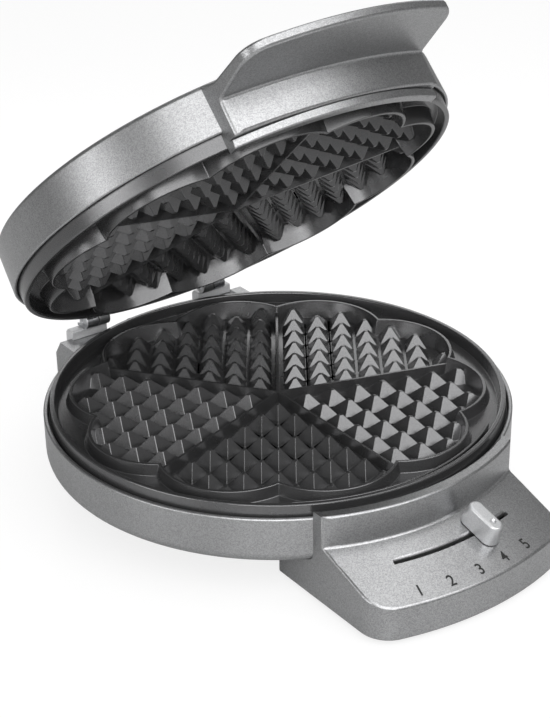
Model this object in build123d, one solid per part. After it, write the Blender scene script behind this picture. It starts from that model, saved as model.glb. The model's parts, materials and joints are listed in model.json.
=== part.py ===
from build123d import *
import os
from math import asin, atan2, cos, degrees, radians, sin, sqrt, tan

os.makedirs("parts", exist_ok=True)

# Heart waffle maker, closed plates about 224 mm across, drawn with its lid open.
# Drawing frame: Z = 0 is the top of the lower plate's rim, the bowl's axis is the Z axis,
# the handle and the controls are towards -Y and the hinge is towards +Y.
# All sizes are in millimetres and all angles in degrees.

# Baking plates
rim_radius = 112.0
rim_land = 2.6
rim_edge = 0.35
rim_draft = 0.4
rim_inner_draft = 1.0
rim_gap = 2.6
trough_depth = 5.8
flange_thickness = 2.5
cavity_depth = 9.0
plate_thickness = 2.5
plate_back_inset = 12.0
flower_inset = 9.0
flower_notch_depth = 10.4
flower_wall_top = 1.6
flower_outer_draft = 1.8
flower_inner_draft = 2.6
lower_wall_over_rim = -0.3
upper_wall_over_rim = 2.6
sink = 0.4
heart_count = 5
cell_pitch = 12.8
cell_gap = 0.9
cell_top = 1.7
cell_tip_depth = 2.3
cell_overlap = 0.9
divider_clear = 2.4
divider_base = 2.2
divider_top = 1.2
divider_height = 5.5
drip_rib_from_wall = 2.9
drip_rib_width = 1.3
drip_rib_below_rim = 1.6
drip_rib_half_angle = 33.0

# Heating
element_ring_radius = 66.0
element_radius = 3.25
element_flat = 0.7
element_gap_half_angle = 12.0
element_post_length = 10.8
tab_length = 4.0
tab_width = 6.3
tab_thickness = 0.8
element_hole_clearance = 1.2
reflector_thickness = 0.8
reflector_depth = 11.3
reflector_floor_inset = 16.0
reflector_lip_inset = 8.0
reflector_lip_width = 7.5
boss_ring_radius = 50.0
boss_angles = (90, 210, 330)
boss_radius = 4.5
post_radius = 5.5
boss_hole_into_plate = 1.0
screw_radius = 1.95
screw_head_radius = 3.6
screw_head_height = 2.2
screw_head_sink = 0.4
screw_tip_gap = 2.0
screw_clearance = 0.15
thread_clearance = 0.05
probe_radius = 1.5
probe_hole_clearance = 1.0
probe_place = (12.0, -69.0)
probe_rise = 5.0
probe_bend = 4.0

# Base bowl
floor_below_rim = 49.0
plate_gap = 0.9
housing_top_below_rim = 5.1
housing_wall = 2.2
housing_corner_below_rim = 26.5
housing_corner_round = 6.0
housing_taper = 35.5
housing_bottom_below_rim = 44.0
ledge_width = 2.2
seat_ring_thickness = 3.0
seat_ring_inset = 7.4
slip = 0.2

# Rear block and hinge
block_half_width = 58.0
block_depth = 5.1
block_reach = 15.5
block_top_below_rim = 4.0
block_bottom_below_rim = 30.0
block_chamfer_depth = 5.6
block_chamfer_drop = 8.0
block_wall = 2.4
cover_inner = 29.5
cover_outer = 50.8
cover_front_inset = 1.5
cover_chamfer = 1.6
cover_front_chamfer = 0.5
hinge_inset = 2.5
hinge_z = 4.5
hinge_pin_radius = 2.0
hinge_running_clearance = 0.05
pin_end_inset = 0.2
knuckle_radius = 4.2
knuckle_gap = 0.3
arm_inner = 30.0
arm_width = 6.6
arm_side_gap = 0.4
arm_front = 4.1
arm_back = 3.6
arm_height = 27.0
arm_round = 2.0
arm_slip = 0.05
ear_width = 7.0
ear_back = 4.6
ear_rise = 3.2
ear_foot_thickness = 1.6
ear_foot_inset = 0.5
ear_screw_radius = 0.8
ear_screw_head_radius = 1.1
ear_screw_head_height = 1.0
lid_open_angle = 43.2

# Control box
box_half_width = 55.5
box_rear_reach = 4.0
box_depth = 34.5
box_corner_round = 15.0
box_bottom_below_rim = 46.5
box_wall = 2.4
shield_gap = 3.6
shield_top_below_rim = 1.5
panel_back_below_rim = 17.2
panel_slope = 20.0
box_cover_thickness = 2.0
box_boss_radius = 3.8
box_boss_from_wall = 0.5
box_screw_radius = 1.45
box_screw_head_radius = 2.8
box_screw_head_height = 1.6
box_screw_head_slip = 0.2
front_screw_length = 12.0
rear_screw_length = 7.0
screw_end_gap = 0.9
front_screw_inset = (8.5, 16.0)
rear_screw_inset = (5.5, 10.0)
window_half_width = 46.0
window_top_below_rim = 20.0
mount_angles = (-110, -70)
mount_below_rim = 14.8
mount_boss_radius = 3.6
mount_screw_length = 9.3

# Temperature slider and thermostat
slot_from_shield = 12.5
slot_half_angle = 14.4
slot_width = 2.4
mark_step_angle = 5.9
slider_rest_mark = 1
knob_length = 21.0
knob_width = 9.4
knob_height = 10.0
knob_lift = 0.3
knob_taper = 1.3
knob_round = 1.1
dimple_from_end = 6.2
dimple_radius = 1.9
dimple_lift = 1.2
stem_width = 1.9
stem_length = 4.0
carriage_half_width = 6.0
carriage_thickness = 2.0
carriage_half_angle = 3.4
carriage_gap = 0.3
drive_pin_radius = 1.3
drive_pin_end_below_rim = 33.0
lever_reach = 44.0
lever_top_below_rim = 30.3
lever_thickness = 1.5
lever_hub_radius = 5.5
lever_width = 10.0
lever_slot_width = 4.8
lever_slot_start = 38.0
lever_slot_end = 53.0
lever_end = 56.0
thermostat_half_width = 17.0
thermostat_behind_pivot = 10.5
thermostat_before_pivot = 11.0
thermostat_chamfer = 1.5
thermostat_top_below_rim = 33.8
shaft_radius = 2.5
shaft_depth = 7.0
shaft_end_gap = 0.5
shaft_running_clearance = 0.05

# Lid
lid_gap = 0.6
lid_lower_edge = 9.4
lid_shoulder = 32.4
lid_crown = 36.5
lid_shoulder_round = 2.6
lid_lip_wall = 1.6
lid_wall = 2.4
lid_draft = 0.8
lid_screw_seat_over_shoulder = 0.6
lid_boss_radius = 4.5
lid_screw_head_radius = 3.2
lid_screw_head_height = 2.0
lid_screw_radius = 1.6
handle_screw_x = 26.0
handle_screw_z = 24.0
handle_screw_seat_inset = 11.6
handle_screw_length = 14.0
arm_screw_z = 20.0
arm_screw_seat_inset = 13.6
arm_screw_length = 12.0

# Handle
handle_half_width = 55.3
handle_seam = 3.9
handle_seam_gap = 0.3
handle_top = 28.2
handle_kink_from_lid = 8.4
handle_wall_top = 31.6
handle_reach = 36.9
handle_root_from_lid = 5.4
handle_underside_root = 20.0
handle_underside_edge = 23.6
handle_corner_round = 13.0
handle_plan_back = 60.0
band_from_lid = 4.0
band_arc_radius = 160.0
band_overlap = 2.0
strip_from_rim = 1.3
strip_depth = 4.7
strip_bottom = -0.4
strip_chamfer = 0.6
strip_groove = 1.5

# Small pieces
foot_radius = 8.0
foot_recess = 0.8
foot_chamfer = 0.6
front_foot_x = 40.0
front_foot_inset = 28.0
rear_foot_x = 42.0
rear_foot_y = 52.0
lead_radius = 1.3
lead_bend = 4.0
front_lead_below_rim = 38.5
back_lead_below_rim = 37.5
supply_lead_below_rim = 39.0
supply_lead_x = 9.0
terminal_front = 58.0
terminal_depth = 13.0
terminal_half_width = 18.0
terminal_top_below_rim = 30.0
terminal_pitch = 8.0
terminal_count = 4
terminal_hole_radius = 2.2
terminal_hole_depth = 1.5
fuse_centre = (32.0, 16.0)
fuse_length = 16.0
fuse_radius = 3.2
fuse_clip_width = 10.0
fuse_clip_length = 8.0
fuse_drop = 5.0
gland_radius = 5.0
gland_end_radius = 4.2
gland_bore_radius = 3.2
gland_length = 20.0
gland_below_rim = 20.8
gland_collar = 1.2
gland_collar_length = 2.0

# Reach of cutting shapes beyond what they cut
beyond = 20.0

# Sizes that follow from the ones above
lobe_count = 2 * heart_count
lobe_angle = 360 / lobe_count
heart_angle = 360 / heart_count
flange_back = -(trough_depth + flange_thickness)
cavity_floor = -cavity_depth
plate_back = -(cavity_depth + plate_thickness)
plate_back_radius = rim_radius - plate_back_inset
flange_radius = rim_radius + rim_draft
flower_tip_radius = rim_radius - flower_inset
flower_notch_radius = flower_tip_radius - flower_notch_depth
drip_rib_inner = flower_tip_radius + drip_rib_from_wall
reflector_front = plate_back - reflector_depth
reflector_back = reflector_front - reflector_thickness
reflector_floor_radius = plate_back_radius - reflector_floor_inset
reflector_lip_radius = plate_back_radius - reflector_lip_inset
element_centre = plate_back - element_radius + element_flat
housing_radius = flange_radius + plate_gap + housing_wall
housing_top = -housing_top_below_rim
housing_corner = -housing_corner_below_rim
housing_bottom = -housing_bottom_below_rim
housing_bottom_radius = housing_radius - housing_taper
housing_floor = housing_bottom + housing_wall
cone_slope = (housing_corner - housing_bottom) / housing_taper
seat_ring_back = flange_back - seat_ring_thickness
seat_ring_inner = rim_radius - seat_ring_inset
base_seat_ring_outer = housing_radius - housing_wall - slip
ledge_radius = housing_radius - housing_wall - ledge_width
block_back = housing_radius + block_depth
block_front = housing_radius - block_reach
block_chamfer_start = block_back - block_chamfer_depth
cover_front = housing_radius - cover_front_inset
cover_top = hinge_z - knuckle_radius - knuckle_gap
hinge_y = housing_radius - hinge_inset
ear_inner = arm_inner + arm_width + arm_side_gap
ear_outer = ear_inner + ear_width
ear_foot_back = block_back - ear_foot_inset
shield_radius = housing_radius + shield_gap + box_wall
box_front_radius = shield_radius + box_depth
box_rear = box_rear_reach - housing_bottom_radius
box_bottom = -box_bottom_below_rim
box_cover_top = box_bottom + box_cover_thickness
box_screw_seat = box_bottom + box_screw_head_height
panel_back = -panel_back_below_rim
panel_fall = tan(radians(panel_slope))
ground = -floor_below_rim
slot_radius = shield_radius + slot_from_shield
slider_angle = slider_rest_mark * mark_step_angle
lever_pivot = slot_radius - lever_reach
lever_top = -lever_top_below_rim
lever_bottom = lever_top - lever_thickness
thermostat_top = -thermostat_top_below_rim
thermostat_rear = thermostat_behind_pivot - lever_pivot
thermostat_front = -thermostat_before_pivot - lever_pivot
lid_radius = flange_radius + lid_gap + lid_lip_wall
lid_seat = rim_gap - seat_ring_back
lid_seat_ring_outer = lid_radius - lid_lip_wall - slip
lid_screw_seat = lid_shoulder + lid_screw_seat_over_shoulder
handle_screw_seat = handle_screw_seat_inset - lid_radius
arm_screw_x = arm_inner + arm_width / 2
arm_screw_seat = lid_radius - arm_screw_seat_inset
handle_edge_radius = lid_radius + handle_reach
handle_kink_radius = lid_radius + handle_kink_from_lid
handle_root_radius = lid_radius + handle_root_from_lid
band_front = lid_radius + band_from_lid
strip_inner = rim_radius + strip_from_rim
strip_radius = strip_inner + strip_depth


def polar(radius, angle, height=0.0):
    """Point at a radius and an angle in degrees from +X."""
    return (radius * cos(radians(angle)), radius * sin(radians(angle)), height)


def section(points, rounds=()):
    """Flat face from its corners, with some corners rounded."""
    face = make_face(Polyline(*points, close=True))
    for corner, radius in rounds:
        vertex = face.vertices().sort_by_distance(Vector(corner[0], corner[1], 0))[0]
        face = fillet(vertex, radius)
    return face


def turned(points, rounds=(), arc=360.0):
    """Solid turned about the Z axis from (radius, height) corners."""
    return revolve(Plane.XZ * section(points, rounds), Axis.Z, revolution_arc=arc)


def sector(points, middle, half_angle):
    """Part of a turned solid, centred on an angle."""
    return Rot(0, 0, middle - half_angle) * turned(points, arc=2 * half_angle)


def block(low, high):
    """Box between two corners."""
    size = [b - a for a, b in zip(low, high)]
    middle = [(a + b) / 2 for a, b in zip(low, high)]
    return Pos(*middle) * Box(*size)


def rod(start, end, radius):
    """Round bar between two points."""
    direction = Vector(end) - Vector(start)
    return Plane(origin=start, z_dir=direction) * extrude(Circle(radius), direction.length)


def screw(seat, direction, head, shank):
    """Screw from its seat: head is (radius, height), shank is (radius, length)."""
    start = Vector(seat)
    along = Vector(direction)
    body = rod(start - along * head[1], start, head[0])
    return body + rod(start, start + along * shank[1], shank[0])


def side_profile(profile, start, width):
    """Solid from a (Y, Z) profile, from one X place over a width."""
    plane = Plane(origin=(start, 0, 0), x_dir=(0, 1, 0), z_dir=(1, 0, 0))
    return extrude(plane * profile, width)


def on_side(shape, side):
    """The shape as drawn at +X, or its mirror image at -X."""
    return shape if side > 0 else mirror(shape, about=Plane.YZ)


def facing_down(shape):
    """A lower-plate piece turned over to face the lower plate."""
    return Pos(0, 0, rim_gap) * mirror(shape, about=Plane.XY)


def arched_plan(half, front, arc_radius, back):
    """Plan with straight sides and an arched front towards -Y."""
    centre = arc_radius - front
    corner = centre - sqrt(arc_radius**2 - half**2)
    arch = ThreePointArc((-half, corner), (0, -front), (half, corner))
    sides = Polyline((half, corner), (half, back), (-half, back), (-half, corner))
    return make_face([arch, sides])


def flower(tip, notch, height):
    """Outline of ten lobes with a notch between each two."""
    arcs = []
    for lobe in range(lobe_count):
        start = -90 + lobe * lobe_angle
        arcs.append(
            ThreePointArc(
                polar(notch, start),
                polar(tip, start + lobe_angle / 2),
                polar(notch, start + lobe_angle),
            )
        )
    return Pos(0, 0, height) * make_face(arcs)


def flower_solid(inset_low, inset_high, low, high):
    """Solid between two flower outlines, each drawn in by its inset."""
    bottom = flower(flower_tip_radius - inset_low, flower_notch_radius - inset_low, low)
    top = flower(flower_tip_radius - inset_high, flower_notch_radius - inset_high, high)
    return loft([bottom, top], ruled=True)


def heart_cells(cleft_angle):
    """Pyramids of one heart, in rows along its two dividers."""
    first = Vector(polar(1, cleft_angle - heart_angle / 2))
    second = Vector(polar(1, cleft_angle + heart_angle / 2))
    skew = sin(radians(heart_angle))
    step = cell_pitch / skew
    start = (first + second) * (divider_clear / skew)
    rise = cavity_depth - cell_tip_depth
    rows = int(flower_tip_radius / step) + 1
    cells = []
    for i in range(rows):
        for j in range(rows):
            centre = start + first * (step * (i + 0.5)) + second * (step * (j + 0.5))
            if centre.length > flower_notch_radius + cell_pitch / 4:
                continue
            corners = []
            for width, height in ((cell_pitch - cell_gap, -sink), (cell_top, rise)):
                u = first * (width / skew / 2)
                v = second * (width / skew / 2)
                ring = [centre - u - v, centre + u - v, centre + u + v, centre - u + v]
                flat = [(point.X, point.Y) for point in ring]
                corners.append(Pos(0, 0, cavity_floor + height) * section(flat))
            cells.append(loft(corners, ruled=True))
    return cells


def divider(angle):
    """Ridge between two hearts, from the middle to a notch."""
    low = divider_base / 2
    high = divider_top / 2
    profile = section(((-low, -sink), (low, -sink), (high, divider_height), (-high, divider_height)))
    start = Plane(origin=(0, 0, cavity_floor), x_dir=(0, 1, 0), z_dir=(1, 0, 0))
    return Rot(0, 0, angle) * extrude(start * profile, flower_notch_radius)


def heart_field():
    """The five hearts of a plate, ending just inside its lobed wall."""
    high = flower_wall_top - cell_overlap
    low = high + flower_inner_draft
    clip = flower_solid(low, high, cavity_floor - 1, lower_wall_over_rim)
    heart = (Part() + (heart_cells(-90 + heart_angle / 2) + [divider(-90)])) & clip
    return [Rot(0, 0, turn * heart_angle) * heart for turn in range(heart_count)]


def drip_rib():
    """Curved rib in the front of the lower plate's trough."""
    low = -trough_depth - sink
    outer = drip_rib_inner + drip_rib_width
    return sector(
        (
            (drip_rib_inner, low),
            (outer, low),
            (outer, -drip_rib_below_rim),
            (drip_rib_inner, -drip_rib_below_rim),
        ),
        -90,
        drip_rib_half_angle,
    )


def baking_plate(wall_over_rim, hearts):
    """One cast plate, its rim at Z = 0 and its hearts facing up."""
    back_corner = plate_back_radius + (flange_back - plate_back)
    rim_inner = rim_radius - rim_land
    disc = turned(
        (
            (0, plate_back),
            (plate_back_radius, plate_back),
            (back_corner, flange_back),
            (flange_radius, flange_back),
            (rim_radius, -rim_edge),
            (rim_radius - rim_edge, 0),
            (rim_inner + rim_edge, 0),
            (rim_inner, -rim_edge),
            (rim_inner - rim_inner_draft, -trough_depth),
            (0, -trough_depth),
        )
    )
    wall = flower_solid(-flower_outer_draft, 0, -trough_depth - sink, wall_over_rim)
    low_inset = flower_wall_top + flower_inner_draft
    cavity = flower_solid(low_inset, flower_wall_top, cavity_floor, wall_over_rim)
    plate = disc + wall - cavity + hearts
    for angle in boss_angles:
        root = polar(boss_ring_radius, angle, plate_back + sink)
        end = polar(boss_ring_radius, angle, reflector_front)
        tip = polar(boss_ring_radius, angle, plate_back + boss_hole_into_plate)
        plate += rod(root, end, boss_radius)
        plate -= rod(end, tip, screw_radius + thread_clearance)
    return plate


def heating_element():
    """Tubular heater with a flat side against the plate and two posts at its ends."""
    round_bar = Pos(element_ring_radius, element_centre) * Circle(element_radius)
    size = 4 * element_radius
    keep = Pos(element_ring_radius, plate_back - size / 2) * Rectangle(size, size)
    profile = Plane.XZ * (round_bar & keep)
    ring = revolve(profile, Axis.Z, revolution_arc=360 - 2 * element_gap_half_angle)
    ring = Rot(0, 0, -90 + element_gap_half_angle) * ring
    for side in (-1, 1):
        angle = -90 + side * element_gap_half_angle
        top = polar(element_ring_radius, angle, element_centre)
        x, y, z = polar(element_ring_radius, angle, element_centre - element_post_length)
        ring += rod(top, (x, y, z), element_radius - element_flat)
        ring += block(
            (x - tab_width / 2, y - tab_thickness / 2, z - tab_length),
            (x + tab_width / 2, y + tab_thickness / 2, z + sink),
        )
    return ring


def heat_reflector(with_probe_hole):
    """Pressed dish that keeps the heat at the plate."""
    lip = reflector_lip_radius + reflector_lip_width
    slant = reflector_thickness * (reflector_lip_radius - reflector_floor_radius) / reflector_depth
    dish = turned(
        (
            (0, reflector_front),
            (reflector_floor_radius, reflector_front),
            (reflector_lip_radius, plate_back),
            (lip, plate_back),
            (lip, plate_back - reflector_thickness),
            (reflector_lip_radius + slant, plate_back - reflector_thickness),
            (reflector_floor_radius + slant, reflector_back),
            (0, reflector_back),
        )
    )
    low = reflector_back - 1
    high = reflector_front + 1
    for side in (-1, 1):
        x, y, _ = polar(element_ring_radius, -90 + side * element_gap_half_angle)
        dish -= rod((x, y, low), (x, y, high), element_radius + element_hole_clearance)
    for angle in boss_angles:
        x, y, _ = polar(boss_ring_radius, angle)
        dish -= rod((x, y, low), (x, y, high), screw_radius + screw_clearance)
    if with_probe_hole:
        x, y = probe_place
        dish -= rod((x, y, low), (x, y, high), probe_radius + probe_hole_clearance)
    return dish


def seat_ring(outer):
    """Dark ring that carries the plate's flange inside the housing."""
    return turned(
        (
            (seat_ring_inner, flange_back),
            (outer, flange_back),
            (outer, seat_ring_back),
            (seat_ring_inner, seat_ring_back),
        )
    )


def bowl(grow=0.0, top=housing_top):
    """Filled outer shape of the base bowl, grown by a gap."""
    radius = housing_radius + grow
    corner = housing_corner - grow
    bottom = housing_bottom - grow
    bottom_radius = radius - (corner - bottom) / cone_slope
    return turned(
        ((0, top), (radius, top), (radius, corner), (bottom_radius, bottom), (0, bottom)),
        rounds=(((radius, corner), housing_corner_round),),
    )


def bowl_hollow():
    """Space inside the base bowl, with the ledge that carries the seat ring."""
    inner = housing_radius - housing_wall
    lift = housing_wall * sqrt(1 + cone_slope**2)
    ledge_corner = housing_corner - (housing_radius - ledge_radius) * cone_slope + lift
    floor_radius = ledge_radius - (ledge_corner - housing_floor) / cone_slope
    return turned(
        (
            (0, 1),
            (inner, 1),
            (inner, seat_ring_back),
            (ledge_radius, seat_ring_back),
            (ledge_radius, ledge_corner),
            (floor_radius, housing_floor),
            (0, housing_floor),
        )
    )


def rear_block(inset):
    """Block behind the bowl that carries the hinge, drawn in by a wall."""
    half = block_half_width - inset
    back = block_back - inset
    top = -block_top_below_rim - inset
    bottom = inset - block_bottom_below_rim
    side = section(
        (
            (block_front + inset, bottom),
            (back, bottom),
            (back, top - block_chamfer_drop),
            (block_chamfer_start - inset, top),
            (block_front + inset, top),
        )
    )
    return side_profile(side, -half, 2 * half)


def screw_posts(low, high):
    """Posts in line with the plate's bosses."""
    posts = []
    for angle in boss_angles:
        start = polar(boss_ring_radius, angle, low)
        posts.append(rod(start, polar(boss_ring_radius, angle, high), post_radius))
    return posts


def base_housing():
    """Painted bowl with the hinge block, open on top and towards the control box."""
    shell = bowl() + (rear_block(0) - bowl(top=beyond))
    shell -= block((-cover_outer, 0, housing_top), (cover_outer, block_back + 1, beyond))
    roof = block(
        (-cover_outer - block_wall, 0, housing_top - block_wall),
        (cover_outer + block_wall, block_back, beyond),
    )
    shell -= bowl_hollow() + (rear_block(block_wall) - roof)
    shell -= block(
        (-window_half_width, -housing_radius - 1, housing_bottom - 1),
        (window_half_width, box_rear - box_wall, -window_top_below_rim),
    )
    inside = (0, block_back - 2 * block_wall, -gland_below_rim)
    shell -= rod(inside, (0, block_back + 1, -gland_below_rim), gland_radius)
    for post in screw_posts(housing_floor - sink, reflector_back):
        shell += post
    for angle in boss_angles:
        low = polar(boss_ring_radius, angle, housing_bottom - 1)
        high = polar(boss_ring_radius, angle, reflector_back + 1)
        seat = polar(boss_ring_radius, angle, housing_bottom + screw_head_height + screw_head_sink)
        shell -= rod(low, high, screw_radius + screw_clearance)
        shell -= rod(low, seat, screw_head_radius + screw_clearance)
    for angle in mount_angles:
        start = polar(ledge_radius - 1, angle, -mount_below_rim)
        end = polar(housing_radius + 1, angle, -mount_below_rim)
        shell -= rod(start, end, box_screw_radius + screw_clearance)
    for x in (-rear_foot_x, rear_foot_x):
        seat = (x, rear_foot_y, housing_bottom + foot_recess)
        shell -= rod((x, rear_foot_y, housing_bottom - 1), seat, foot_radius + slip / 2)
    return shell


def box_outline(inset):
    """Plan of the control box, drawn in by a wall."""
    radius = box_front_radius - inset
    face = arched_plan(box_half_width - inset, radius, radius, box_rear - inset)
    corners = face.vertices().sort_by(Axis.Y)[:2]
    return fillet(corners, box_corner_round - inset)


def box_envelope(inset):
    """Space under the shield top and the sloping panel, drawn in by a wall."""
    top = -shield_top_below_rim - inset
    radius = shield_radius - inset
    back = panel_back - inset / cos(radians(panel_slope)) + inset * panel_fall
    far = box_front_radius + beyond
    front = back - (far - radius) * panel_fall
    low = ground - beyond
    return turned(((0, low), (far, low), (far, front), (radius, back), (radius, top), (0, top)))


def box_screw_places():
    """Places of the cover's screws, each with the length of its screw."""
    front_x, front_y = front_screw_inset
    rear_x, rear_y = rear_screw_inset
    places = []
    for side in (-1, 1):
        front = (side * (box_half_width - front_x), front_y - box_front_radius)
        rear = (side * (box_half_width - rear_x), box_rear - rear_y)
        places.append((front, front_screw_length))
        places.append((rear, rear_screw_length))
    return places


def control_box():
    """Painted box with the upright shield and the sloping control panel."""
    height = -shield_top_below_rim - box_bottom
    outer = Pos(0, 0, box_bottom) * extrude(box_outline(0), height + 1)
    outer = (outer & box_envelope(0)) - bowl(slip, top=beyond)
    inner = Pos(0, 0, box_bottom - 1) * extrude(box_outline(box_wall), height + 2)
    shell = outer - (inner & box_envelope(box_wall))
    bosses = Part()
    for (x, y), _ in box_screw_places():
        bosses += Pos(x, y, box_cover_top) * extrude(Circle(box_boss_radius), height)
    for angle in mount_angles:
        start = polar(housing_radius - 1, angle, -mount_below_rim)
        end = polar(shield_radius - box_wall / 2, angle, -mount_below_rim)
        bosses += rod(start, end, mount_boss_radius)
    shell += (bosses & box_envelope(box_boss_from_wall) & outer) - bowl(slip, top=beyond)
    hole = box_screw_radius + thread_clearance
    for (x, y), length in box_screw_places():
        shell -= rod((x, y, box_bottom - 1), (x, y, box_screw_seat + length + screw_end_gap), hole)
    for angle in mount_angles:
        start = polar(housing_radius - 1, angle, -mount_below_rim)
        end = polar(ledge_radius + mount_screw_length, angle, -mount_below_rim)
        shell -= rod(start, end, hole)
    inner_edge = slot_radius - slot_width / 2
    outer_edge = slot_radius + slot_width / 2
    slot = ((inner_edge, ground), (outer_edge, ground), (outer_edge, 0), (inner_edge, 0))
    return shell - sector(slot, -90, slot_half_angle)


def box_cover():
    """Flat cover under the control box."""
    plate = Pos(0, 0, box_bottom) * extrude(box_outline(box_wall + slip), box_cover_thickness)
    head = box_screw_head_radius + box_screw_head_slip
    for (x, y), _ in box_screw_places():
        low = (x, y, box_bottom - 1)
        plate -= rod(low, (x, y, box_cover_top + 1), box_screw_radius + screw_clearance)
        plate -= rod(low, (x, y, box_screw_seat), head)
    y = front_foot_inset - box_front_radius
    for x in (-front_foot_x, front_foot_x):
        seat = (x, y, box_bottom + foot_recess)
        plate -= rod((x, y, box_bottom - 1), seat, foot_radius + slip / 2)
    return plate


def cover_screws():
    """Screws of the control box's cover."""
    head = (box_screw_head_radius, box_screw_head_height)
    screws = Part()
    for (x, y), length in box_screw_places():
        screws += screw((x, y, box_screw_seat), (0, 0, 1), head, (box_screw_radius, length))
    return screws


def mount_screws():
    """Screws from inside the bowl into the back of the shield."""
    head = (box_screw_head_radius, box_screw_head_height)
    shank = (box_screw_radius, mount_screw_length - 2 * slip)
    screws = Part()
    for angle in mount_angles:
        seat = polar(ledge_radius - slip / 2, angle, -mount_below_rim)
        screws += screw(seat, polar(1, angle), head, shank)
    return screws


def base_plate_screws():
    """Screws that clamp the lower plate and reflector to the bowl."""
    seat = housing_bottom + screw_head_height + screw_head_sink
    length = plate_back + boss_hole_into_plate - screw_tip_gap - seat
    head = (screw_head_radius, screw_head_height)
    screws = Part()
    for angle in boss_angles:
        place = polar(boss_ring_radius, angle, seat)
        screws += screw(place, (0, 0, 1), head, (screw_radius, length))
    return screws


def foot(x, y, seat):
    """Rubber foot pressed into a shallow recess."""
    pad = Pos(x, y, ground) * extrude(Circle(foot_radius), seat + foot_recess - ground)
    return chamfer(pad.edges().sort_by(Axis.Z)[0], foot_chamfer)


def slider_plane():
    """Place on the panel at the rest mark, Y up the slope and Z out of the panel."""
    height = panel_back - (slot_radius - shield_radius) * panel_fall
    tilt = radians(panel_slope)
    middle = Plane(
        origin=(0, -slot_radius, height), x_dir=(1, 0, 0), z_dir=(0, -sin(tilt), cos(tilt))
    )
    return Rot(0, 0, slider_angle) * middle.location


def stadium(length, width):
    """Bar outline with round ends, its long side along Y."""
    return Rot(0, 0, 90) * SlotOverall(length, width)


def slider_knob():
    """Rounded grip with a flat stem that goes down through the slot."""
    base = stadium(knob_length, knob_width)
    head = stadium(knob_length - 2 * knob_taper, knob_width - 2 * knob_taper)
    grip = loft([base, Pos(0, 0, knob_height) * head])
    grip = fillet(grip.edges().sort_by(Axis.Z)[-4:], knob_round)
    dimple_y = dimple_from_end - knob_length / 2
    grip -= Pos(0, dimple_y, knob_height + dimple_lift) * Sphere(dimple_radius)
    grip = slider_plane() * (Pos(0, 0, knob_lift) * grip)
    low = below_panel(slot_radius, carriage_gap + carriage_thickness)
    high = below_panel(slot_radius, -box_wall - knob_lift - sink) + stem_width * panel_fall
    stem = block(
        (-stem_length / 2, -slot_radius - stem_width / 2, low),
        (stem_length / 2, -slot_radius + stem_width / 2, high),
    )
    return grip + Rot(0, 0, slider_angle) * stem


def below_panel(radius, below):
    """Height of a surface that runs under the panel at a distance below its wall."""
    surface = panel_back - (radius - shield_radius) * panel_fall
    return surface - (box_wall + below) / cos(radians(panel_slope))


def slider_carriage():
    """Plate under the panel that holds the stem and carries the drive pin."""
    inner = slot_radius - carriage_half_width
    outer = slot_radius + carriage_half_width
    low = carriage_gap + carriage_thickness
    plate = sector(
        (
            (inner, below_panel(inner, low)),
            (outer, below_panel(outer, low)),
            (outer, below_panel(outer, carriage_gap)),
            (inner, below_panel(inner, carriage_gap)),
        ),
        -90,
        carriage_half_angle,
    )
    top = below_panel(slot_radius, carriage_gap + carriage_thickness / 2)
    end = (0, -slot_radius, -drive_pin_end_below_rim)
    pin = rod((0, -slot_radius, top), end, drive_pin_radius)
    return Rot(0, 0, slider_angle) * (plate + pin) - slider_knob()


def lever_angle():
    """Turn of the lever that points it at the drive pin."""
    across = slot_radius * sin(radians(slider_angle))
    along = slot_radius * cos(radians(slider_angle)) - lever_pivot
    return degrees(atan2(across, along))


def thermostat_lever():
    """Forked lever with the thermostat's shaft in its hub."""
    outline = Circle(lever_hub_radius)
    outline += Pos(0, -lever_end / 2) * Rectangle(lever_width, lever_end)
    middle = -(lever_slot_start + lever_slot_end) / 2
    outline -= Pos(0, middle) * stadium(lever_slot_end - lever_slot_start, lever_slot_width)
    arm = Pos(0, 0, lever_bottom) * extrude(outline, lever_thickness)
    arm += rod((0, 0, lever_bottom + sink), (0, 0, thermostat_top - shaft_depth), shaft_radius)
    return Pos(0, -lever_pivot, 0) * Rot(0, 0, lever_angle()) * arm


def thermostat():
    """Ceramic switch body that stands on the box's cover."""
    body = block(
        (-thermostat_half_width, thermostat_front, box_cover_top),
        (thermostat_half_width, thermostat_rear, thermostat_top),
    )
    body = chamfer(body.edges().filter_by(Axis.Z), thermostat_chamfer)
    low = (0, -lever_pivot, thermostat_top - shaft_depth - shaft_end_gap)
    high = (0, -lever_pivot, thermostat_top + 1)
    return body - rod(low, high, shaft_radius + shaft_running_clearance)


def bent_rod(points, bend, radius):
    """Round bar along straight runs with round bends."""
    route = FilletPolyline(*points, radius=bend)
    return sweep(Plane(route ^ 0) * Circle(radius), route)


def thermostat_probe():
    """Sensing tube from the thermostat up to the back of the plate."""
    x, y = probe_place
    start_y = (thermostat_rear - lever_pivot) / 2
    level = reflector_back - probe_rise
    points = ((x, start_y, thermostat_top), (x, start_y, level), (x, y, level), (x, y, plate_back))
    return bent_rod(points, probe_bend, probe_radius)


def tab_end(side):
    """Lower end of the lower element's tab on one side."""
    height = element_centre - element_post_length - tab_length
    return polar(element_ring_radius, -90 + side * element_gap_half_angle, height)


def heater_lead(side, level, end_y):
    """Wire from one tab of the lower element down and along to its terminal."""
    x, y, z = tab_end(side)
    return bent_rod(((x, y, z), (x, y, -level), (x, end_y, -level)), lead_bend, lead_radius)


def supply_lead():
    """Wire from the terminal block to the thermostat."""
    start = (supply_lead_x, terminal_front, -supply_lead_below_rim)
    return rod(start, (supply_lead_x, thermostat_rear, -supply_lead_below_rim), lead_radius)


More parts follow.
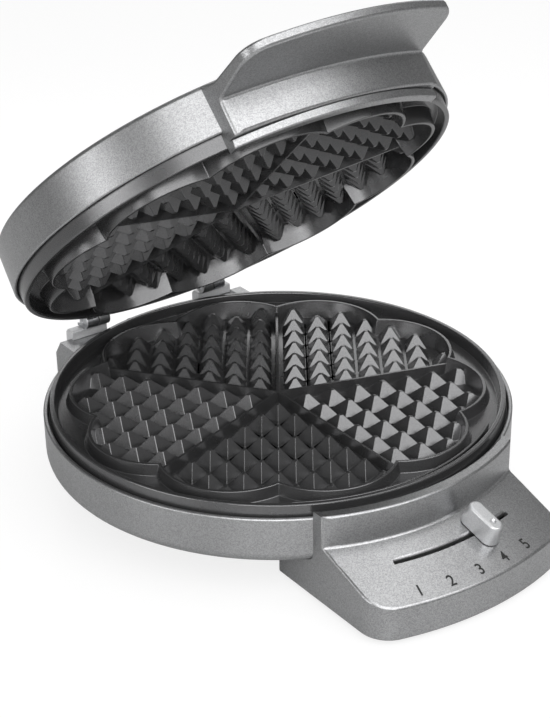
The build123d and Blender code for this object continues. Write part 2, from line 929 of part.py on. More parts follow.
def terminal_block():
    """Terminal block on the floor of the bowl."""
    top = -terminal_top_below_rim
    base = block(
        (-terminal_half_width, terminal_front, housing_floor),
        (terminal_half_width, terminal_front + terminal_depth, top),
    )
    y = terminal_front + terminal_depth / 2
    for place in range(terminal_count):
        x = (place - (terminal_count - 1) / 2) * terminal_pitch
        base -= rod((x, y, top - terminal_hole_depth), (x, y, top + 1), terminal_hole_radius)
    return base


def thermal_fuse():
    """Cut-out that hangs in a clip under the lower reflector."""
    x, y = fuse_centre
    z = reflector_back - fuse_drop
    body = rod((x, y - fuse_length / 2, z), (x, y + fuse_length / 2, z), fuse_radius)
    clip = block(
        (x - fuse_clip_width / 2, y - fuse_clip_length / 2, z),
        (x + fuse_clip_width / 2, y + fuse_clip_length / 2, reflector_back),
    )
    return body + clip


def cord_gland():
    """Rubber sleeve in the rear wall where a supply cord enters."""
    z = -gland_below_rim
    wall_face = block_back - block_wall
    back = Plane(origin=(0, block_back, z), z_dir=(0, 1, 0))
    sleeve = loft([back * Circle(gland_radius), back.offset(gland_length) * Circle(gland_end_radius)])
    collar_start = (0, wall_face - gland_collar_length, z)
    sleeve += rod((0, wall_face, z), (0, block_back, z), gland_radius)
    sleeve += rod(collar_start, (0, wall_face, z), gland_radius + gland_collar)
    low = (0, wall_face - gland_collar_length - 1, z)
    return sleeve - rod(low, (0, block_back + gland_length + 1, z), gland_bore_radius)


def ear_screw():
    """Screw that holds a hinge ear down on its cover."""
    y = (hinge_y + ear_back + ear_foot_back) / 2
    seat = ((ear_inner + ear_outer) / 2, y, cover_top + ear_foot_thickness)
    length = seat[2] - housing_top - sink
    head = (ear_screw_head_radius, ear_screw_head_height)
    return screw(seat, (0, 0, -1), head, (ear_screw_radius, length))


def hinge_cover():
    """Raised cover that wraps over the rear block's sloping edge."""
    drop = -block_top_below_rim - housing_top
    slope_start = block_chamfer_start + drop * block_chamfer_depth / block_chamfer_drop
    profile = section(
        (
            (cover_front, housing_top),
            (slope_start, housing_top),
            (block_back, -block_top_below_rim - block_chamfer_drop),
            (block_back, cover_top - cover_chamfer),
            (block_back - cover_chamfer, cover_top),
            (cover_front + cover_front_chamfer, cover_top),
            (cover_front, cover_top - cover_front_chamfer),
        )
    )
    return side_profile(profile, cover_inner, cover_outer - cover_inner) - ear_screw()


def hinge_ear():
    """Steel ear on the base that holds the hinge pin."""
    back = hinge_y + ear_back
    top = hinge_z + ear_rise
    profile = Pos(hinge_y, hinge_z) * Circle(knuckle_radius)
    profile += section(((hinge_y, cover_top), (back, cover_top), (back, top), (hinge_y, top)))
    ear = side_profile(profile, ear_inner, ear_width)
    ear += block(
        (ear_inner, cover_front + cover_front_chamfer, cover_top),
        (ear_outer, ear_foot_back, cover_top + ear_foot_thickness),
    )
    start = (ear_inner - 1, hinge_y, hinge_z)
    ear -= rod(start, (ear_outer + 1, hinge_y, hinge_z), hinge_pin_radius)
    return ear - ear_screw()


def hinge_pin():
    """Steel pin through one ear and one arm."""
    start = (arm_inner + pin_end_inset, hinge_y, hinge_z)
    return rod(start, (ear_outer - pin_end_inset, hinge_y, hinge_z), hinge_pin_radius)


def lid_profile(inset):
    """Half section of the lid's outer shape, drawn in by a wall."""
    radius = lid_radius - inset
    shoulder = lid_shoulder - inset
    crown = lid_crown - inset
    top = radius - lid_draft
    rise = crown - shoulder
    sphere = (top**2 + rise**2) / (2 * rise)
    spread = degrees(asin(top / sphere))
    side = Polyline((0, crown), (0, lid_lower_edge), (radius, lid_lower_edge), (top, shoulder))
    dome = CenterArc((0, crown - sphere), sphere, 90 - spread, spread)
    face = make_face([side, dome])
    corner = face.vertices().sort_by_distance(Vector(top, shoulder, 0))[0]
    return fillet(corner, lid_shoulder_round - inset / 2)


def lid_solid(inset):
    """Filled lid shape, drawn in by a wall."""
    return revolve(Plane.XZ * lid_profile(inset), Axis.Z)


def lid_shell():
    """Wall of the lid with the step that carries its seat ring."""
    lip = lid_radius - lid_lip_wall
    above_seat = section(((0, lid_seat), (lid_radius, lid_seat), (lid_radius, lid_crown), (0, lid_crown)))
    below_seat = section(((0, 0), (lip, 0), (lip, lid_seat), (0, lid_seat)))
    profile = lid_profile(0) - (lid_profile(lid_wall) & above_seat) - below_seat
    return revolve(Plane.XZ * profile, Axis.Z)


def lid_bosses():
    """Seats inside the lid for the handle, hinge and plate screws."""
    bosses = screw_posts(rim_gap - reflector_back, lid_crown)
    for side in (-1, 1):
        x = side * handle_screw_x
        start = (x, handle_screw_seat, handle_screw_z)
        bosses.append(rod(start, (x, -lid_radius, handle_screw_z), lid_boss_radius))
        x = side * arm_screw_x
        start = (x, arm_screw_seat, arm_screw_z)
        bosses.append(rod(start, (x, lid_radius, arm_screw_z), lid_boss_radius))
    return bosses


def lid_housing():
    """Painted lid shell with its bosses and screw holes."""
    shell = lid_shell()
    within = lid_solid(lid_wall / 2)
    for boss in lid_bosses():
        shell += boss & within
    for angle in boss_angles:
        low = polar(boss_ring_radius, angle, rim_gap - reflector_front)
        seat = polar(boss_ring_radius, angle, lid_screw_seat)
        high = polar(boss_ring_radius, angle, lid_crown + 1)
        shell -= rod(low, high, screw_radius + screw_clearance)
        shell -= rod(seat, high, screw_head_radius + screw_clearance)
    return shell - handle_screws() - arm_screws()


def lid_plate_screws():
    """Screws that clamp the upper plate and reflector to the lid."""
    tip = rim_gap - plate_back - boss_hole_into_plate + screw_tip_gap
    head = (screw_head_radius, screw_head_height)
    shank = (screw_radius, lid_screw_seat - tip)
    screws = Part()
    for angle in boss_angles:
        screws += screw(polar(boss_ring_radius, angle, lid_screw_seat), (0, 0, -1), head, shank)
    return screws


def lid_side_screws(x, seat_y, z, outward, length):
    """Pair of screws from inside the lid's wall outwards."""
    head = (lid_screw_head_radius, lid_screw_head_height)
    pair = Part()
    for side in (-1, 1):
        seat = (side * x, seat_y, z)
        pair += screw(seat, (0, outward, 0), head, (lid_screw_radius, length))
    return pair


def handle_screws():
    """Screws from inside the lid into the handle."""
    return lid_side_screws(handle_screw_x, handle_screw_seat, handle_screw_z, -1, handle_screw_length)


def arm_screws():
    """Screws from inside the lid into the hinge arms."""
    return lid_side_screws(arm_screw_x, arm_screw_seat, arm_screw_z, 1, arm_screw_length)


def hinge_arm():
    """Arm on the back of the lid that turns on the hinge pin."""
    front = hinge_y - arm_front
    back = hinge_y + arm_back
    profile = Pos(hinge_y, hinge_z) * Circle(knuckle_radius)
    profile += section(((front, hinge_z), (back, hinge_z), (back, arm_height), (front, arm_height)))
    arm = side_profile(profile, arm_inner, arm_width)
    top_edges = arm.edges().filter_by(Axis.X).sort_by(Axis.Z)[-2:]
    arm = fillet(top_edges.sort_by(Axis.Y)[-1], arm_round)
    arm -= lid_solid(-arm_slip)
    start = (arm_inner - 1, hinge_y, hinge_z)
    end = (arm_inner + arm_width + 1, hinge_y, hinge_z)
    arm -= rod(start, end, hinge_pin_radius + hinge_running_clearance)
    return arm - arm_screws()


def handle():
    """Lift handle: a band against the lid and a flange that stands out from it."""
    half = handle_half_width
    edge = handle_edge_radius
    back = -handle_plan_back
    plan = arched_plan(half, edge, edge, back)
    plan = fillet(plan.vertices().sort_by(Axis.Y)[:2], handle_corner_round)
    fall = (handle_underside_edge - handle_underside_root) / (edge - handle_root_radius)
    inner = handle_plan_back
    far = edge + beyond
    limits = turned(
        (
            (inner, handle_underside_root - (handle_root_radius - inner) * fall),
            (far, handle_underside_edge + (far - edge) * fall),
            (far, handle_top),
            (handle_kink_radius, handle_top),
            (lid_radius, handle_wall_top),
            (inner, handle_wall_top),
        )
    )
    flange = extrude(plan, handle_wall_top + 1) & limits
    band_height = handle_top - band_overlap - handle_seam
    band_plan = arched_plan(half, band_front, band_arc_radius, back)
    body = flange + Pos(0, 0, handle_seam) * extrude(band_plan, band_height)
    body -= turned(((0, 0), (strip_inner, 0), (strip_inner, lid_lower_edge), (0, lid_lower_edge)))
    return body - lid_solid(0) - handle_screws()


def handle_strip():
    """Lower strip of the handle, in front of the plates' rims."""
    groove = strip_radius - strip_groove
    ring = turned(
        (
            (strip_inner, strip_bottom),
            (strip_radius - strip_chamfer, strip_bottom),
            (strip_radius, strip_bottom + strip_chamfer),
            (strip_radius, handle_seam - handle_seam_gap),
            (groove, handle_seam - handle_seam_gap),
            (groove, handle_seam),
            (strip_inner, handle_seam),
        )
    )
    half = handle_half_width
    return ring & block((-half, -strip_radius - 1, strip_bottom - 1), (half, 0, handle_seam + 1))


hearts = heart_field()
lower_plate = baking_plate(lower_wall_over_rim, hearts + [drip_rib()])
upper_plate = facing_down(baking_plate(upper_wall_over_rim, hearts))

pieces = {
    "base_housing": base_housing(),
    "base_seat_ring": seat_ring(base_seat_ring_outer),
    "lower_plate": lower_plate,
    "lower_element": heating_element(),
    "lower_reflector": heat_reflector(True),
    "base_plate_screws": base_plate_screws(),
    "control_box": control_box(),
    "control_box_cover": box_cover(),
    "control_box_cover_screws": cover_screws(),
    "control_box_mount_screws": mount_screws(),
    "thermostat": thermostat(),
    "thermostat_probe": thermostat_probe(),
    "heater_lead_front": heater_lead(1, front_lead_below_rim, thermostat_rear),
    "heater_lead_back": heater_lead(-1, back_lead_below_rim, terminal_front),
    "supply_lead": supply_lead(),
    "terminal_block": terminal_block(),
    "thermal_fuse": thermal_fuse(),
    "cord_gland": cord_gland(),
    "slider_knob": slider_knob(),
    "slider_carriage": slider_carriage(),
    "thermostat_lever": thermostat_lever(),
}
front_foot_y = front_foot_inset - box_front_radius
for name, side in (("left", -1), ("right", 1)):
    pieces["foot_front_" + name] = foot(side * front_foot_x, front_foot_y, box_bottom)
    pieces["foot_rear_" + name] = foot(side * rear_foot_x, rear_foot_y, housing_bottom)
    pieces["hinge_cover_" + name] = on_side(hinge_cover(), side)
    pieces["hinge_ear_" + name] = on_side(hinge_ear(), side)
    pieces["hinge_ear_screw_" + name] = on_side(ear_screw(), side)
    pieces["hinge_pin_" + name] = on_side(hinge_pin(), side)

lid_pieces = {
    "lid_housing": lid_housing(),
    "lid_seat_ring": facing_down(seat_ring(lid_seat_ring_outer)),
    "upper_plate": upper_plate,
    "upper_element": facing_down(heating_element()),
    "upper_reflector": facing_down(heat_reflector(False)),
    "lid_plate_screws": lid_plate_screws(),
    "handle": handle(),
    "handle_strip": handle_strip(),
    "handle_screws": handle_screws(),
    "hinge_arm_left": on_side(hinge_arm(), -1),
    "hinge_arm_right": on_side(hinge_arm(), 1),
    "hinge_arm_screws": arm_screws(),
}
opening = Pos(0, hinge_y, hinge_z) * Rot(-lid_open_angle, 0, 0) * Pos(0, -hinge_y, -hinge_z)
for name, shape in lid_pieces.items():
    pieces[name] = opening * shape

# The object stands on the plane Z = 0, and the origin is midway between its front and back.
boxes = [shape.bounding_box() for shape in pieces.values()]
middle_y = (min(box.min.Y for box in boxes) + max(box.max.Y for box in boxes)) / 2
placing = Pos(0, -middle_y, -ground)
for name, shape in pieces.items():
    export_step(placing * shape, f"parts/{name}.step")
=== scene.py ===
import json
from math import pi, radians, tan

import bmesh
import bpy
from mathutils import Matrix, Vector


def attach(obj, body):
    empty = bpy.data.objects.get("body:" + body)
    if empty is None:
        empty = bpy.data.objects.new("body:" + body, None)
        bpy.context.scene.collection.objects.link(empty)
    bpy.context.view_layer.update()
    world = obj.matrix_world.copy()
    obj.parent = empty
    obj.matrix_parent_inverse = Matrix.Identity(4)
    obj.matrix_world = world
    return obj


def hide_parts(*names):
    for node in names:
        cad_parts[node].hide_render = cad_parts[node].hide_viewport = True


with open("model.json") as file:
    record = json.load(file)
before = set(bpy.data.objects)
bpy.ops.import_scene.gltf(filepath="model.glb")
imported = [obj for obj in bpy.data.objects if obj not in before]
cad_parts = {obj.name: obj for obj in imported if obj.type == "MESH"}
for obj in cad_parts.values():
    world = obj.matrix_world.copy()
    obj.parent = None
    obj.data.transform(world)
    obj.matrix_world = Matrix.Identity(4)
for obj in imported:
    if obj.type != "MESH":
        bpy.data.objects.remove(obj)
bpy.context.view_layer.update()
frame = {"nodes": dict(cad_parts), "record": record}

# Sizes are in metres. The bowl's axis and the height of the lower rim, in the frame of the parts.
bowl_axis_y = 0.0077
rim_height = 0.049

# Control panel, a cone about the bowl's axis
shield_radius = 0.1215
panel_back_height = rim_height - 0.0172
panel_slope = radians(20.0)
number_radius = 0.1502
number_height = 0.0082
number_boldness = 0.0001
number_width = 0.86
number_depth = 0.00005
number_angles = (-12.5, -6.4, -0.3, 5.4, 11.0)

# Edges that get rounded bend by more than a crease and by less than a thin blade
crease_angle = radians(28)
flat_crease_angle = radians(12)
gently_bent = ("handle", "control_box")
thinnest_bend = radians(100)
shortest_rounded = 0.0006

# Corners closer than this are one, and faces that bend less than this are one
merge_distance = 0.000002
flat_joint_angle = radians(0.2)

# Finishes: depth of the fine relief, and how tone and gloss vary
relief_depth = 0.00005
flake_share = 0.75
flake_gloss_spread = 0.12
drift_per_metre = 22.0
smudges_per_metre = 35.0

# Floor and surroundings
floor_reach = 6.0
floor_tone = 0.60
floor_roughness = 0.28
floor_glow = 1.28
floor_glow_share = 0.62
surroundings_light = 0.19
lamp_aim = (0.0, 0.0, 0.08)

# Camera, from the fit to the photographed rims
camera_place = (-0.42922, -0.59138 + bowl_axis_y, 0.38735 + rim_height)
camera_turn = -0.6263
camera_pitch = 0.4718
camera_roll = -0.0136
camera_lens = 83.84
camera_sensor = 36.0
camera_nearest = 0.01

# Places of the colour sockets on a Mix node
mix_dark_input = 6
mix_light_input = 7
mix_colour_output = 2


def body_with(node):
    """Name of the body that holds a node."""
    for body, members in frame["record"]["behaviour"]["bodies"].items():
        if node in members:
            return body


def slot_of(node):
    """Material slot that the record gives a node."""
    for part in frame["record"]["subparts"]:
        if part["node"] == node:
            return part["material_slot"]


def linked(name, mesh):
    """New object for a mesh, in the scene."""
    piece = bpy.data.objects.new(name, mesh)
    bpy.context.scene.collection.objects.link(piece)
    return piece


# Shader groups

surface_outputs = (
    ("Colour", "NodeSocketColor"),
    ("Roughness", "NodeSocketFloat"),
    ("Height", "NodeSocketFloat"),
)


def new_group(name, inputs, outputs):
    """Empty shader group with its sockets."""
    group = bpy.data.node_groups.new(name, "ShaderNodeTree")
    for label, kind, value in inputs:
        socket = group.interface.new_socket(name=label, in_out="INPUT", socket_type=kind)
        if value is not None:
            socket.default_value = value
    for label, kind in outputs:
        group.interface.new_socket(name=label, in_out="OUTPUT", socket_type=kind)
    start = group.nodes.new("NodeGroupInput")
    end = group.nodes.new("NodeGroupOutput")
    return group, start, end


def math_node(tree, operation, first, second):
    """Math node; each input is a socket or a number."""
    node = tree.nodes.new("ShaderNodeMath")
    node.operation = operation
    for place, value in enumerate((first, second)):
        if isinstance(value, (int, float)):
            node.inputs[place].default_value = value
        else:
            tree.links.new(value, node.inputs[place])
    return node.outputs[0]


def mixed_colour(tree, factor, dark, light):
    """Colour between two sockets."""
    node = tree.nodes.new("ShaderNodeMix")
    node.data_type = "RGBA"
    tree.links.new(factor, node.inputs[0])
    tree.links.new(dark, node.inputs[mix_dark_input])
    tree.links.new(light, node.inputs[mix_light_input])
    return node.outputs[mix_colour_output]


def flake_group():
    """Metallic flakes: each cell gets its own tone, over a slow drift of tone."""
    group, start, end = new_group(
        "paint_flakes",
        (
            ("Place", "NodeSocketVector", None),
            ("Grains per Metre", "NodeSocketFloat", 1800.0),
            ("Dark", "NodeSocketColor", (0.2, 0.2, 0.2, 1)),
            ("Light", "NodeSocketColor", (0.5, 0.5, 0.5, 1)),
            ("Roughness", "NodeSocketFloat", 0.4),
        ),
        surface_outputs,
    )
    cells = group.nodes.new("ShaderNodeTexVoronoi")
    group.links.new(start.outputs["Place"], cells.inputs["Vector"])
    group.links.new(start.outputs["Grains per Metre"], cells.inputs["Scale"])
    tones = group.nodes.new("ShaderNodeSeparateColor")
    group.links.new(cells.outputs["Color"], tones.inputs[0])
    drift = group.nodes.new("ShaderNodeTexNoise")
    drift.inputs["Scale"].default_value = drift_per_metre
    drift.inputs["Detail"].default_value = 2.0
    group.links.new(start.outputs["Place"], drift.inputs["Vector"])
    flake = math_node(group, "MULTIPLY", tones.outputs[0], flake_share)
    slow = math_node(group, "MULTIPLY", drift.outputs["Fac"], 1 - flake_share)
    tone = math_node(group, "ADD", flake, slow)
    colour = mixed_colour(group, tone, start.outputs["Dark"], start.outputs["Light"])
    group.links.new(colour, end.inputs["Colour"])
    spread = math_node(group, "MULTIPLY", tones.outputs[1], flake_gloss_spread)
    rough = math_node(group, "ADD", start.outputs["Roughness"], spread)
    group.links.new(rough, end.inputs["Roughness"])
    group.links.new(tones.outputs[2], end.inputs["Height"])
    return group


def grain_group():
    """Fine grain of a cast, moulded or coated surface, with slow smudges."""
    group, start, end = new_group(
        "surface_grain",
        (
            ("Place", "NodeSocketVector", None),
            ("Grains per Metre", "NodeSocketFloat", 1500.0),
            ("Dark", "NodeSocketColor", (0.02, 0.02, 0.02, 1)),
            ("Light", "NodeSocketColor", (0.04, 0.04, 0.04, 1)),
            ("Roughness", "NodeSocketFloat", 0.4),
            ("Smudge", "NodeSocketFloat", 0.1),
        ),
        surface_outputs,
    )
    fine = group.nodes.new("ShaderNodeTexNoise")
    fine.inputs["Detail"].default_value = 3.0
    group.links.new(start.outputs["Place"], fine.inputs["Vector"])
    group.links.new(start.outputs["Grains per Metre"], fine.inputs["Scale"])
    smudge = group.nodes.new("ShaderNodeTexNoise")
    smudge.inputs["Scale"].default_value = smudges_per_metre
    smudge.inputs["Detail"].default_value = 4.0
    group.links.new(start.outputs["Place"], smudge.inputs["Vector"])
    colour = mixed_colour(group, fine.outputs["Fac"], start.outputs["Dark"], start.outputs["Light"])
    group.links.new(colour, end.inputs["Colour"])
    patch = math_node(group, "SUBTRACT", smudge.outputs["Fac"], 0.5)
    change = math_node(group, "MULTIPLY", patch, start.outputs["Smudge"])
    rough = math_node(group, "ADD", start.outputs["Roughness"], change)
    group.links.new(rough, end.inputs["Roughness"])
    group.links.new(fine.outputs["Fac"], end.inputs["Height"])
    return group


flakes = flake_group()
grain = grain_group()


# Materials


def finish(name, group, per_metre, dark, light, roughness, bump, metallic=0.0, smudge=None):
    """Material whose colour, roughness and fine relief come from a group."""
    material = bpy.data.materials.new(name)
    material.use_nodes = True
    tree = material.node_tree
    shader = tree.nodes["Principled BSDF"]
    shader.inputs["Metallic"].default_value = metallic
    place = tree.nodes.new("ShaderNodeTexCoord")
    surface = tree.nodes.new("ShaderNodeGroup")
    surface.node_tree = group
    surface.inputs["Grains per Metre"].default_value = per_metre
    surface.inputs["Dark"].default_value = (*dark, 1)
    surface.inputs["Light"].default_value = (*light, 1)
    surface.inputs["Roughness"].default_value = roughness
    if smudge is not None:
        surface.inputs["Smudge"].default_value = smudge
    relief = tree.nodes.new("ShaderNodeBump")
    relief.inputs["Strength"].default_value = bump
    relief.inputs["Distance"].default_value = relief_depth
    tree.links.new(place.outputs["Object"], surface.inputs["Place"])
    tree.links.new(surface.outputs["Height"], relief.inputs["Height"])
    tree.links.new(surface.outputs["Colour"], shader.inputs["Base Color"])
    tree.links.new(surface.outputs["Roughness"], shader.inputs["Roughness"])
    tree.links.new(relief.outputs["Normal"], shader.inputs["Normal"])
    return material


def silver_paint():
    """Satin silver-grey paint with visible metal flakes."""
    dark = (0.27, 0.272, 0.276)
    light = (0.50, 0.503, 0.51)
    return finish("silver_paint", flakes, 2600, dark, light, 0.28, 0.14, metallic=0.95)


def light_silver():
    """Paler, smoother silver of the slider."""
    dark = (0.56, 0.565, 0.575)
    light = (0.72, 0.725, 0.735)
    return finish("light_silver", flakes, 3000, dark, light, 0.28, 0.06, metallic=0.75)


def cover_silver():
    """Paler copy of the silver paint on the hinge covers, painted lighter to stand for the light
    that falls on them.
    """
    # Painted highlight: these tones are the body's silver paint made paler for the covers' lit faces
    dark = (0.64, 0.645, 0.655)
    light = (0.80, 0.805, 0.815)
    return finish("cover_silver", flakes, 3000, dark, light, 0.34, 0.06, metallic=0.35)


def black_coating():
    """Dark non-stick coating on cast aluminium."""
    dark = (0.10, 0.10, 0.102)
    light = (0.19, 0.19, 0.193)
    return finish("black_coating", grain, 1900, dark, light, 0.26, 0.12, metallic=0.8, smudge=0.16)


def black_plastic():
    """Matt black heat-resistant plastic."""
    dark = (0.010, 0.010, 0.010)
    light = (0.030, 0.030, 0.030)
    return finish("black_plastic", grain, 1200, dark, light, 0.55, 0.25, smudge=0.1)


def black_rubber():
    """Soft black rubber."""
    dark = (0.012, 0.012, 0.012)
    light = (0.026, 0.026, 0.026)
    return finish("black_rubber", grain, 800, dark, light, 0.75, 0.3, smudge=0.12)


def plated_steel():
    """Zinc-plated steel of screws, pins and ears."""
    dark = (0.46, 0.47, 0.49)
    light = (0.68, 0.69, 0.70)
    return finish("plated_steel", grain, 900, dark, light, 0.28, 0.08, metallic=1.0, smudge=0.2)


def heater_sheath():
    """Browned metal sheath of the heaters."""
    dark = (0.16, 0.13, 0.10)
    light = (0.36, 0.33, 0.30)
    return finish("heater_sheath", grain, 300, dark, light, 0.42, 0.15, metallic=0.9, smudge=0.2)


def pressed_aluminium():
    """Bright rolled aluminium sheet."""
    dark = (0.66, 0.67, 0.68)
    light = (0.82, 0.82, 0.83)
    return finish("pressed_aluminium", grain, 500, dark, light, 0.32, 0.06, metallic=1.0, smudge=0.2)


def copper_tube():
    """Copper of the thermostat's probe."""
    dark = (0.50, 0.24, 0.13)
    light = (0.76, 0.42, 0.26)
    return finish("copper_tube", grain, 400, dark, light, 0.34, 0.08, metallic=1.0, smudge=0.2)


def steatite():
    """Off-white ceramic."""
    dark = (0.66, 0.64, 0.58)
    light = (0.78, 0.76, 0.70)
    return finish("steatite", grain, 700, dark, light, 0.50, 0.15, smudge=0.1)


def wire_sleeve():
    """Woven glass sleeve of the inner wires."""
    dark = (0.48, 0.46, 0.40)
    light = (0.74, 0.71, 0.64)
    return finish("wire_sleeve", grain, 1400, dark, light, 0.70, 0.6, smudge=0.1)


def number_ink():
    """Black print of the panel's numbers."""
    dark = (0.006, 0.006, 0.006)
    light = (0.016, 0.016, 0.016)
    return finish("number_ink", grain, 2500, dark, light, 0.50, 0.05, smudge=0.05)


paint = silver_paint()
pale_paint = light_silver()
lit_cover_paint = cover_silver()
coating = black_coating()
plastic = black_plastic()
rubber = black_rubber()
steel = plated_steel()
sheath = heater_sheath()
aluminium = pressed_aluminium()
copper = copper_tube()
ceramic = steatite()
sleeve = wire_sleeve()
ink = number_ink()

slot_finish = {
    "silver_paint": paint,
    "hinge_cover_paint": lit_cover_paint,
    "hinge_arm_paint": paint,
    "plate_coating": coating,
    "dark_plastic": plastic,
    "heater_steel": sheath,
    "reflector_sheet": aluminium,
    "steel": steel,
    "rubber": rubber,
    "knob_plastic": pale_paint,
    "ceramic": ceramic,
    "copper": copper,
    "wire": sleeve,
}


# Pieces


def wear_finish(piece, material):
    """Gives a piece one material."""
    piece.data.materials.clear()
    piece.data.materials.append(material)


def dress_nodes():
    """Gives every node the finish of its slot."""
    for node, source in frame["nodes"].items():
        wear_finish(source, slot_finish[slot_of(node)])


def smooth_by_angle(mesh_edit, angle):
    """Smooth faces with a crease wherever two meet at more than an angle."""
    for face in mesh_edit.faces:
        face.smooth = True
    for edge in mesh_edit.edges:
        edge.smooth = len(edge.link_faces) == 2 and edge.calc_face_angle(pi) < angle


def mark_round_edges(edit, edge_round, crease):
    """Marks the creases to round, but not very short or thin ones nor those that touch them."""
    mark = edit.edges.layers.float.new("bevel_weight_edge")
    shortest = min(edge_round, shortest_rounded)
    left_sharp = set()
    creases = []
    for edge in edit.edges:
        bend = edge.calc_face_angle(pi)
        if bend > thinnest_bend or (bend > crease and edge.calc_length() < shortest):
            left_sharp.update(edge.verts)
        elif bend > crease:
            creases.append(edge)
    for edge in creases:
        edge[mark] = float(left_sharp.isdisjoint(edge.verts))


def rounded_copy(node, edge_round):
    """Merged copy of a node with its edges rounded, standing for the node."""
    crease = flat_crease_angle if node in gently_bent else crease_angle
    mesh = frame["nodes"][node].data.copy()
    piece = linked(node + "_shape", mesh)
    edit = bmesh.new()
    edit.from_mesh(mesh)
    bmesh.ops.remove_doubles(edit, verts=edit.verts, dist=merge_distance)
    bmesh.ops.dissolve_limit(edit, angle_limit=flat_joint_angle, verts=edit.verts, edges=edit.edges)
    smooth_by_angle(edit, crease)
    if edge_round > 0:
        mark_round_edges(edit, edge_round, crease)
    edit.to_mesh(mesh)
    edit.free()
    wear_finish(piece, slot_finish[slot_of(node)])
    if edge_round > 0:
        bevel = piece.modifiers.new("edge_round", "BEVEL")
        bevel.width = edge_round
        bevel.segments = 2
        bevel.limit_method = "WEIGHT"
        bevel.use_clamp_overlap = False
        bevel.loop_slide = False
        bevel.miter_outer = "MITER_ARC"
        weight = piece.modifiers.new("flat_shading", "WEIGHTED_NORMAL")
        weight.keep_sharp = True
    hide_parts(node)
    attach(piece, body_with(node))


def panel_place(radius, angle):
    """Place and turn on the control panel, X across and Y up the slope."""
    height = panel_back_height - (radius - shield_radius) * tan(panel_slope)
    spin = Matrix.Rotation(angle, 4, "Z")
    tilt = Matrix.Rotation(panel_slope, 4, "X")
    to_axis = Matrix.Translation((0, bowl_axis_y, 0))
    return to_axis @ spin @ Matrix.Translation((0, -radius, height)) @ tilt


def panel_number(number, angle):
    """One printed number of the temperature scale."""
    text = bpy.data.curves.new("number_text", "FONT")
    text.body = str(number)
    text.size = number_height
    text.offset = number_boldness
    text.align_x = "CENTER"
    text.align_y = "CENTER"
    text.extrude = number_depth / 2
    holder = linked("number_text", text)
    mesh = bpy.data.meshes.new_from_object(holder)
    bpy.data.objects.remove(holder)
    bpy.data.curves.remove(text)
    mesh.transform(Matrix.Diagonal((number_width, 1, 1, 1)))
    mesh.transform(panel_place(number_radius, angle) @ Matrix.Translation((0, 0, number_depth)))
    piece = linked(f"number_{number}", mesh)
    wear_finish(piece, ink)
    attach(piece, "base")


def add_numbers():
    """Numbers one to five along the slider's slot."""
    for place, angle in enumerate(number_angles):
        panel_number(place + 1, radians(angle))


def add_rounded_copies():
    """Copies of all the nodes, with rounded edges on those that show."""
    rounds = {
        "base_housing": 0.0006,
        "lid_housing": 0.0006,
        "control_box": 0.0009,
        "handle": 0.0011,
        "handle_strip": 0.0003,
        "hinge_cover_left": 0.0004,
        "hinge_cover_right": 0.0004,
        "hinge_ear_left": 0.0003,
        "hinge_ear_right": 0.0003,
        "hinge_arm_left": 0.0004,
        "hinge_arm_right": 0.0004,
        "slider_knob": 0.0003,
        "lower_plate": 0.00025,
        "upper_plate": 0.00025,
    }
    for node, edge_round in rounds.items():
        rounded_copy(node, edge_round)
    for node in frame["nodes"]:
        if node not in rounds:
            rounded_copy(node, 0)


# Stage


def add_floor():
    """Pale floor that shows almost white and keeps a soft shadow."""
    mesh = bpy.data.meshes.new("floor")
    edit = bmesh.new()
    bmesh.ops.create_grid(edit, x_segments=1, y_segments=1, size=floor_reach)
    edit.to_mesh(mesh)
    edit.free()
    floor = linked("floor", mesh)
    material = bpy.data.materials.new("pale_floor")
    material.use_nodes = True
    tree = material.node_tree
    shader = tree.nodes["Principled BSDF"]
    shader.inputs["Base Color"].default_value = (floor_tone, floor_tone, floor_tone, 1)
    shader.inputs["Roughness"].default_value = floor_roughness
    glow = tree.nodes.new("ShaderNodeEmission")
    glow.inputs["Color"].default_value = (1, 1, 1, 1)
    glow.inputs["Strength"].default_value = floor_glow
    path = tree.nodes.new("ShaderNodeLightPath")
    share = math_node(tree, "MULTIPLY", path.outputs["Is Camera Ray"], floor_glow_share)
    blend = tree.nodes.new("ShaderNodeMixShader")
    tree.links.new(share, blend.inputs[0])
    tree.links.new(shader.outputs[0], blend.inputs[1])
    tree.links.new(glow.outputs[0], blend.inputs[2])
    tree.links.new(blend.outputs[0], tree.nodes["Material Output"].inputs["Surface"])
    floor.data.materials.append(material)


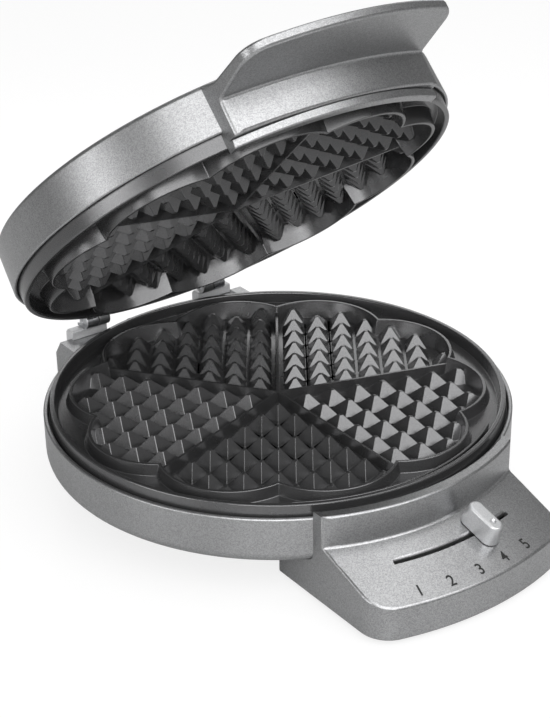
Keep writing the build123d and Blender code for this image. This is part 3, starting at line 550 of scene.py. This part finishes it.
def add_world():
    """Even surroundings, white to the camera and dimmer as light and in reflections."""
    world = bpy.data.worlds.new("studio")
    bpy.context.scene.world = world
    world.use_nodes = True
    tree = world.node_tree
    light = tree.nodes["Background"]
    light.inputs["Color"].default_value = (1, 1, 1, 1)
    light.inputs["Strength"].default_value = surroundings_light
    white = tree.nodes.new("ShaderNodeBackground")
    white.inputs["Color"].default_value = (1, 1, 1, 1)
    white.inputs["Strength"].default_value = 1.0
    path = tree.nodes.new("ShaderNodeLightPath")
    straight = path.outputs["Is Camera Ray"]
    through = path.outputs["Is Transmission Ray"]
    seen = math_node(tree, "MAXIMUM", straight, through)
    blend = tree.nodes.new("ShaderNodeMixShader")
    tree.links.new(seen, blend.inputs[0])
    tree.links.new(light.outputs[0], blend.inputs[1])
    tree.links.new(white.outputs[0], blend.inputs[2])
    tree.links.new(blend.outputs[0], tree.nodes["World Output"].inputs["Surface"])


def add_lamp(name, place, width, height, power):
    """Soft rectangular lamp turned towards the object."""
    data = bpy.data.lights.new(name, "AREA")
    data.shape = "RECTANGLE"
    data.size = width
    data.size_y = height
    data.energy = power
    lamp = linked(name, data)
    lamp.location = place
    lamp.rotation_euler = (Vector(lamp_aim) - Vector(place)).to_track_quat("-Z", "Y").to_euler()


def add_lamps():
    """Wide soft lamp in front and above, with weaker ones on the other sides."""
    add_lamp("front_lamp", (-0.26, -1.03, 1.27), width=2.6, height=1.3, power=28.0)
    add_lamp("top_lamp", (0.42, 0.24, 1.5), width=1.0, height=1.0, power=6.0)
    add_lamp("left_lamp", (-1.6, 0.0, 0.5), width=1.0, height=0.5, power=5.5)
    add_lamp("low_lamp", (-0.85, -1.2, 0.62), width=1.2, height=0.3, power=4.5)
    add_lamp("back_lamp", (0.9, 1.25, 0.62), width=1.8, height=0.4, power=4.5)


def add_camera():
    """Camera at the photograph's place and angle."""
    data = bpy.data.cameras.new("photo_camera")
    data.lens = camera_lens
    data.sensor_width = camera_sensor
    data.clip_start = camera_nearest
    camera = linked("photo_camera", data)
    turn = Matrix.Rotation(camera_turn, 4, "Z") @ Matrix.Rotation(pi / 2 - camera_pitch, 4, "X")
    turn = turn @ Matrix.Rotation(camera_roll, 4, "Z")
    camera.matrix_world = Matrix.Translation(camera_place) @ turn
    bpy.context.scene.camera = camera


dress_nodes()
add_rounded_copies()
add_numbers()
add_floor()
add_world()
add_lamps()
add_camera()
bpy.context.scene.view_settings.view_transform = "Standard"

bpy.context.view_layer.update()
